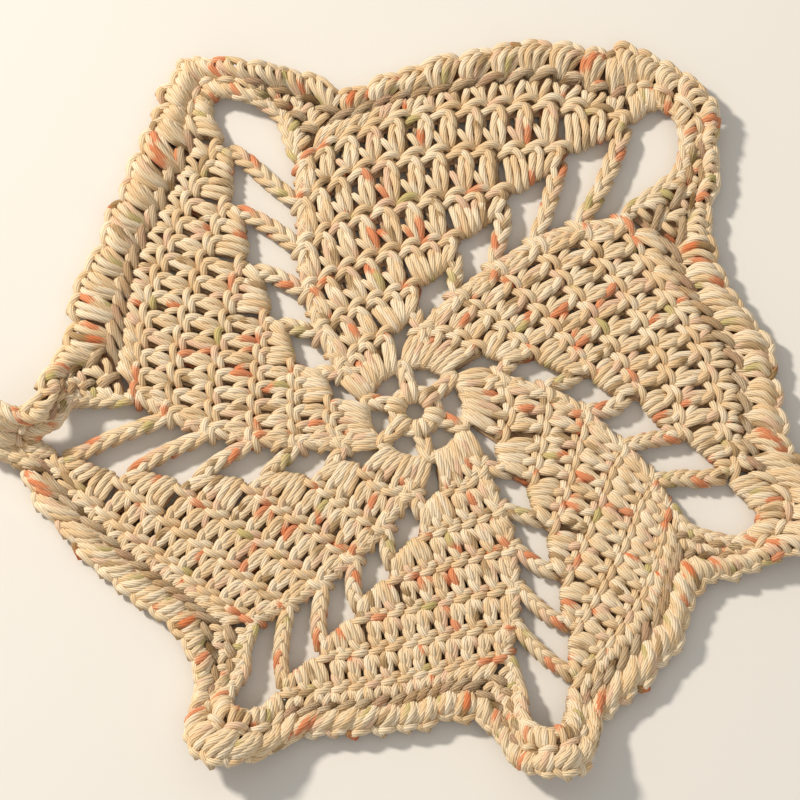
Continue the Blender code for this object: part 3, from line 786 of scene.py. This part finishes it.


# Plied cotton yarn: cream, with short flecks of other colours along it, and painted shade in
# its colour in the ply grooves and low between the stitches.
def cottonMaterial():
    material = bpy.data.materials.new("flecked_cotton_yarn")
    material.use_nodes = True
    tree = material.node_tree
    shader = tree.nodes["Principled BSDF"]
    along = addNode(tree, "ShaderNodeAttribute", attribute_name="along")
    around = addNode(tree, "ShaderNodeAttribute", attribute_name="around")
    above = addNode(tree, "ShaderNodeAttribute", attribute_name="above")
    sideways = addNode(tree, "ShaderNodeSeparateXYZ", {0: around.outputs["Vector"]})
    # Fibres lie along the yarn: long in one direction, fine in the others.
    fibrePlace = addNode(tree, "ShaderNodeCombineXYZ", {2: along.outputs["Fac"]})
    stretched = addNode(tree, "ShaderNodeVectorMath",
                        {0: fibrePlace.outputs[0],
                         1: (0.0, 0.0, 1.0 / (cotton["fibreLength"] * mm))},
                        operation="MULTIPLY")
    wrapped = addNode(tree, "ShaderNodeVectorMath",
                      {0: around.outputs["Vector"],
                       1: (cotton["fibresAcross"], cotton["fibresAcross"], 0.0)},
                      operation="MULTIPLY")
    fibreAt = addNode(tree, "ShaderNodeVectorMath",
                      {0: stretched.outputs[0], 1: wrapped.outputs[0]}, operation="ADD")
    fibre = addNode(tree, "ShaderNodeTexNoise",
                    {"Vector": fibreAt.outputs[0], "Scale": 1.0, "Detail": 3.0,
                     "Roughness": 0.6})
    # The fibres carry a fleck a little further or less far than the next ones.
    ragged = addNode(tree, "ShaderNodeMath",
                     {0: fibre.outputs[0], 1: cotton["fleckRagged"] * mm},
                     operation="MULTIPLY")
    reach = addNode(tree, "ShaderNodeMath", {0: along.outputs["Fac"], 1: ragged.outputs[0]},
                    operation="ADD")
    cells = addNode(tree, "ShaderNodeMath",
                    {0: reach.outputs[0], 1: 1.0 / (cotton["fleckLength"] * mm)},
                    operation="MULTIPLY")
    fleck = addNode(tree, "ShaderNodeTexVoronoi", {"W": cells.outputs[0], "Scale": 1.0,
                                                   "Randomness": 1.0},
                    voronoi_dimensions="1D", feature="F1")
    chance = addNode(tree, "ShaderNodeSeparateColor", {0: fleck.outputs["Color"]})
    colours = addNode(tree, "ShaderNodeValToRGB", {0: chance.outputs[0]})
    ramp = colours.color_ramp
    ramp.interpolation = "CONSTANT"
    while len(ramp.elements) < len(cotton["bands"]):
        ramp.elements.new(1.0)
    for element, (name, start) in zip(ramp.elements, cotton["bands"]):
        element.position = start
        element.color = linear(cotton[name])
    # Slow change of tone along the yarn.
    slow = addNode(tree, "ShaderNodeTexNoise",
                   {"W": along.outputs["Fac"], "Scale": 1.0 / (cotton["toneLength"] * mm),
                    "Detail": 2.0},
                   noise_dimensions="1D")
    toned = addNode(tree, "ShaderNodeMix",
                    {6: colours.outputs[0], 7: linear(cotton["cream"])},
                    data_type="RGBA")
    tone = addNode(tree, "ShaderNodeMapRange",
                   {"Value": slow.outputs[0], "To Min": 0.0, "To Max": cotton["toneShare"]})
    tree.links.new(tone.outputs[0], toned.inputs[0])
    # The plies run round the yarn as it turns, with a groove between each two. The colour is
    # darkened in the grooves as painted shade and made a little lighter on the ply crests,
    # with the fibres adding tone at random; the same pattern makes the bump.
    angle = addNode(tree, "ShaderNodeMath", {0: sideways.outputs[1], 1: sideways.outputs[0]},
                    operation="ARCTAN2")
    turns = addNode(tree, "ShaderNodeMath", {0: angle.outputs[0], 1: float(cotton["plies"])},
                    operation="MULTIPLY")
    wave = addNode(tree, "ShaderNodeMath", {0: turns.outputs[0]}, operation="COSINE")
    ply = addNode(tree, "ShaderNodeMath", {0: wave.outputs[0]}, operation="ABSOLUTE")
    plyShape = addNode(tree, "ShaderNodeMath", {0: ply.outputs[0], 1: cotton["plySharpness"]},
                       operation="POWER")
    strands = addNode(tree, "ShaderNodeMath", {0: fibre.outputs[0], 1: cotton["fibreShare"],
                                               2: plyShape.outputs[0]},
                      operation="MULTIPLY_ADD")
    grooveShadeAndFibreTone = addNode(tree, "ShaderNodeMapRange",
                         {"Value": strands.outputs[0], "From Min": 0.2, "From Max": 1.1,
                          "To Min": 0.70, "To Max": 1.05})
    # Painted shade: the yarn's colour is darkened where it lies low down between the stitches,
    # where light hardly reaches.
    lowDownShade = addNode(tree, "ShaderNodeMapRange",
                   {"Value": above.outputs["Fac"], "From Min": cotton["paintedShadeFrom"],
                    "From Max": cotton["paintedShadeTo"], "To Min": cotton["paintedCreviceShade"],
                    "To Max": 1.0})
    shade = addNode(tree, "ShaderNodeMath", {0: grooveShadeAndFibreTone.outputs[0], 1: lowDownShade.outputs[0]},
                    operation="MULTIPLY")
    # Painted shade is warmer as well as dimmer: the darker the painted shade above, the more
    # of the shadow tint the colour takes.
    shadeWarmth = addNode(tree, "ShaderNodeMapRange",
                     {"Value": shade.outputs[0], "From Min": 0.3, "From Max": 0.9,
                      "To Min": 0.0, "To Max": 1.0})
    shadeTint = addNode(tree, "ShaderNodeMix",
                   {6: linear(cotton["shadowTint"]), 7: linear("#FFFFFF")}, data_type="RGBA")
    tree.links.new(shadeWarmth.outputs[0], shadeTint.inputs[0])
    shadeTinted = addNode(tree, "ShaderNodeVectorMath",
                     {0: toned.outputs[2], 1: shadeTint.outputs[2]}, operation="MULTIPLY")
    coloured = addNode(tree, "ShaderNodeVectorMath",
                       {0: shadeTinted.outputs[0], "Scale": shade.outputs[0]}, operation="SCALE")
    tree.links.new(coloured.outputs[0], shader.inputs["Base Color"])
    raised = addNode(tree, "ShaderNodeBump",
                     {"Height": strands.outputs[0], "Strength": 0.8,
                      "Distance": cotton["grooveDepth"] * mm})
    tree.links.new(raised.outputs[0], shader.inputs["Normal"])
    shader.inputs["Roughness"].default_value = cotton["roughness"]
    shader.inputs["Sheen Weight"].default_value = cotton["sheen"]
    shader.inputs["Sheen Roughness"].default_value = cotton["sheenRoughness"]
    shader.inputs["Specular IOR Level"].default_value = cotton["specular"]
    return material


yarnMaterial = cottonMaterial()
print("materials ready")

wingPieces = [makePiece(makeWing(wing), yarnMaterial) for wing in range(layout["wings"])]


# The ring and spokes.

centre = {
    "ringReach": 6.8, "ringPitch": 4.6, "ringWide": 0.8, "ringPoints": 24,
    "spokeStart": 7.6, "spokeMiddle": (0.3, 12.0), "spokeEnd": 17.2, "spokePitch": 4.4,
    "wrapAside": 1.2, "wrapFat": 0.9,
    # One wrap of a spoke over the ring: share of its place aside, mm outwards, mm up.
    "wrap": ((1.0, 10.2, 2.6), (1.0, 8.8, 5.0), (1.1, 7.0, 6.2), (1.0, 5.0, 5.6),
             (0.8, 3.9, 3.6), (0.8, 4.4, 1.8)),
}


# The starting ring of chain, and six spokes of chain worked over it.
def makeCentre():
    skein = Skein("centre")
    angles = [math.radians(360.0 * n / centre["ringPoints"])
              for n in range(centre["ringPoints"] + 1)]
    ring = [Vector((centre["ringReach"] * math.cos(angle),
                    centre["ringReach"] * math.sin(angle))) for angle in angles]
    addChain(skein, ring, centre["ringPitch"], centre["ringWide"])
    for wing in range(layout["wings"]):
        line = turned(wing, (0.0, centre["spokeStart"]), centre["spokeMiddle"],
                      (0.0, centre["spokeEnd"]))
        addChain(skein, rounded(line, 6), centre["spokePitch"])
        for aside in (-centre["wrapAside"], centre["wrapAside"]):
            skein.add([(onWing(wing, (aside * share, y)), w)
                       for share, y, w in centre["wrap"]], fat=centre["wrapFat"])
    return skein


wingPieces.append(makePiece(makeCentre(), yarnMaterial))


# Ground, floor, light.

ground = {"thickness": 0.6, "above": 1.7, "postShare": 0.36, "postFrom": 0.22, "postTo": 0.66,
          "borderReach": 0.62, "fanLeft": 0.9, "mergeWithin": 0.9}


def addPatch(web, corners):
    web.faces.new([web.verts.new(onCloth(corner, ground["above"])) for corner in corners])


# The thin web inside the yarn: a band along each row, a narrow strip behind each post, and
# nothing in the eyelets. Its patches don't all meet, so it isn't one connected cloth.
def makeGround():
    web = bmesh.new()
    low, high, half = ground["postFrom"], ground["postTo"], ground["postShare"]
    for wing in range(layout["wings"]):
        for kind, *plan in wingPlan:
            base, baseStep, top, topStep = turned(wing, *plan)
            up = top - base
            if kind != "plain":
                left = baseStep * (ground["fanLeft"] if kind == "firstFan" else 0.5)
                addPatch(web, (base - left, base + baseStep / 2.0,
                               top + topStep / 2.0, top - topStep / 2.0))
                continue
            lowStep = baseStep + (topStep - baseStep) * low
            highStep = baseStep + (topStep - baseStep) * high
            addPatch(web, (base - baseStep / 2.0, base + baseStep / 2.0,
                           base + up * low + lowStep / 2.0, base + up * low - lowStep / 2.0))
            addPatch(web, (base + up * low - lowStep * half, base + up * low + lowStep * half,
                           base + up * high + highStep * half,
                           base + up * high - highStep * half))
            addPatch(web, (base + up * high - highStep / 2.0,
                           base + up * high + highStep / 2.0,
                           top + topStep / 2.0, top - topStep / 2.0))
        for plan in borderPlan:
            base, baseStep, top, topStep = turned(wing, *plan)
            reach = base + (top - base) * ground["borderReach"]
            addPatch(web, (base - baseStep / 2.0, base + baseStep / 2.0,
                           reach + topStep / 2.0, reach - topStep / 2.0))
    bmesh.ops.remove_doubles(web, verts=web.verts, dist=ground["mergeWithin"] * mm)
    bmesh.ops.recalc_face_normals(web, faces=web.faces)
    mesh = bpy.data.meshes.new("ground")
    web.to_mesh(mesh)
    web.free()
    # With no height stored on it, the web takes the yarn material's painted crevice shade at
    # full strength.
    mesh.materials.append(yarnMaterial)
    piece = bpy.data.objects.new("ground", mesh)
    bpy.context.collection.objects.link(piece)
    thick = piece.modifiers.new("thickness", "SOLIDIFY")
    thick.thickness = ground["thickness"] * mm
    thick.offset = 0.0
    bpy.context.view_layer.update()
    ready = piece.evaluated_get(bpy.context.evaluated_depsgraph_get())
    piece.modifiers.clear()
    piece.data = bpy.data.meshes.new_from_object(ready)
    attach(piece, "root")
    return piece


groundPiece = makeGround()
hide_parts("doily")

studio = {
    "floor": "#ECEBE7",
    "sky": "#F1ECE4",
    "skyStrength": 0.5,
    "keyPower": 32.0,
    "keyColour": "#FFF3E4",
    "keySize": 0.23,
    "keyPlace": (-1.22, 0.71, 1.22),
    "fillPower": 1.6,
    "fillColour": "#F4F6FF",
    "fillSize": 1.2,
    "fillPlace": (0.6, -0.8, 1.2),
    "floorHalf": 3.0,
    "floorRoughness": 0.9,
    "sensor": 36.0,
    "lens": 148.5,
    "cameraElevation": 72.0,
    "cameraDistance": 1.1,
    "aimFromRing": (-5.0, 4.2),
    "aimHeight": 3.0,
}


def makeFloor():
    sheet = bmesh.new()
    bmesh.ops.create_grid(sheet, x_segments=1, y_segments=1, size=studio["floorHalf"])
    mesh = bpy.data.meshes.new("floor")
    sheet.to_mesh(mesh)
    sheet.free()
    floor = bpy.data.objects.new("floor", mesh)
    bpy.context.collection.objects.link(floor)
    material = bpy.data.materials.new("pale_floor")
    material.use_nodes = True
    shader = material.node_tree.nodes["Principled BSDF"]
    shader.inputs["Base Color"].default_value = linear(studio["floor"])
    shader.inputs["Roughness"].default_value = studio["floorRoughness"]
    mesh.materials.append(material)
    return floor


def makeLight(name, place, size, power, colour):
    lamp = bpy.data.lights.new(name, "AREA")
    lamp.shape = "DISK"
    lamp.size = size
    lamp.energy = power
    lamp.color = linear(colour)[:3]
    item = bpy.data.objects.new(name, lamp)
    item.location = place
    item.rotation_euler = (-Vector(place)).to_track_quat("-Z", "Y").to_euler()
    bpy.context.collection.objects.link(item)


# Look steeply down, as the doily is seen by someone standing over it.
def makeCamera():
    camera = bpy.data.cameras.new("camera")
    camera.sensor_width = studio["sensor"]
    camera.lens = studio["lens"]
    elevation = math.radians(studio["cameraElevation"])
    ringX, ringY = layout["ringPlace"]
    aimX, aimY = studio["aimFromRing"]
    aim = Vector(((ringX + aimX) * mm, (ringY + aimY) * mm, studio["aimHeight"] * mm))
    back = Vector((0.0, -math.cos(elevation), math.sin(elevation)))
    item = bpy.data.objects.new("camera", camera)
    item.location = aim + back * studio["cameraDistance"]
    item.rotation_euler = (math.pi / 2.0 - elevation, 0.0, 0.0)
    bpy.context.collection.objects.link(item)
    bpy.context.scene.camera = item


makeFloor()
makeLight("key_light", studio["keyPlace"], studio["keySize"], studio["keyPower"],
          studio["keyColour"])
makeLight("fill_light", studio["fillPlace"], studio["fillSize"], studio["fillPower"],
          studio["fillColour"])
bpy.context.scene.view_settings.view_transform = "Standard"
world = bpy.data.worlds.new("soft_sky")
world.use_nodes = True
sky = world.node_tree.nodes["Background"]
sky.inputs[0].default_value = linear(studio["sky"])
sky.inputs[1].default_value = studio["skyStrength"]
bpy.context.scene.world = world
makeCamera()
print("studio ready")
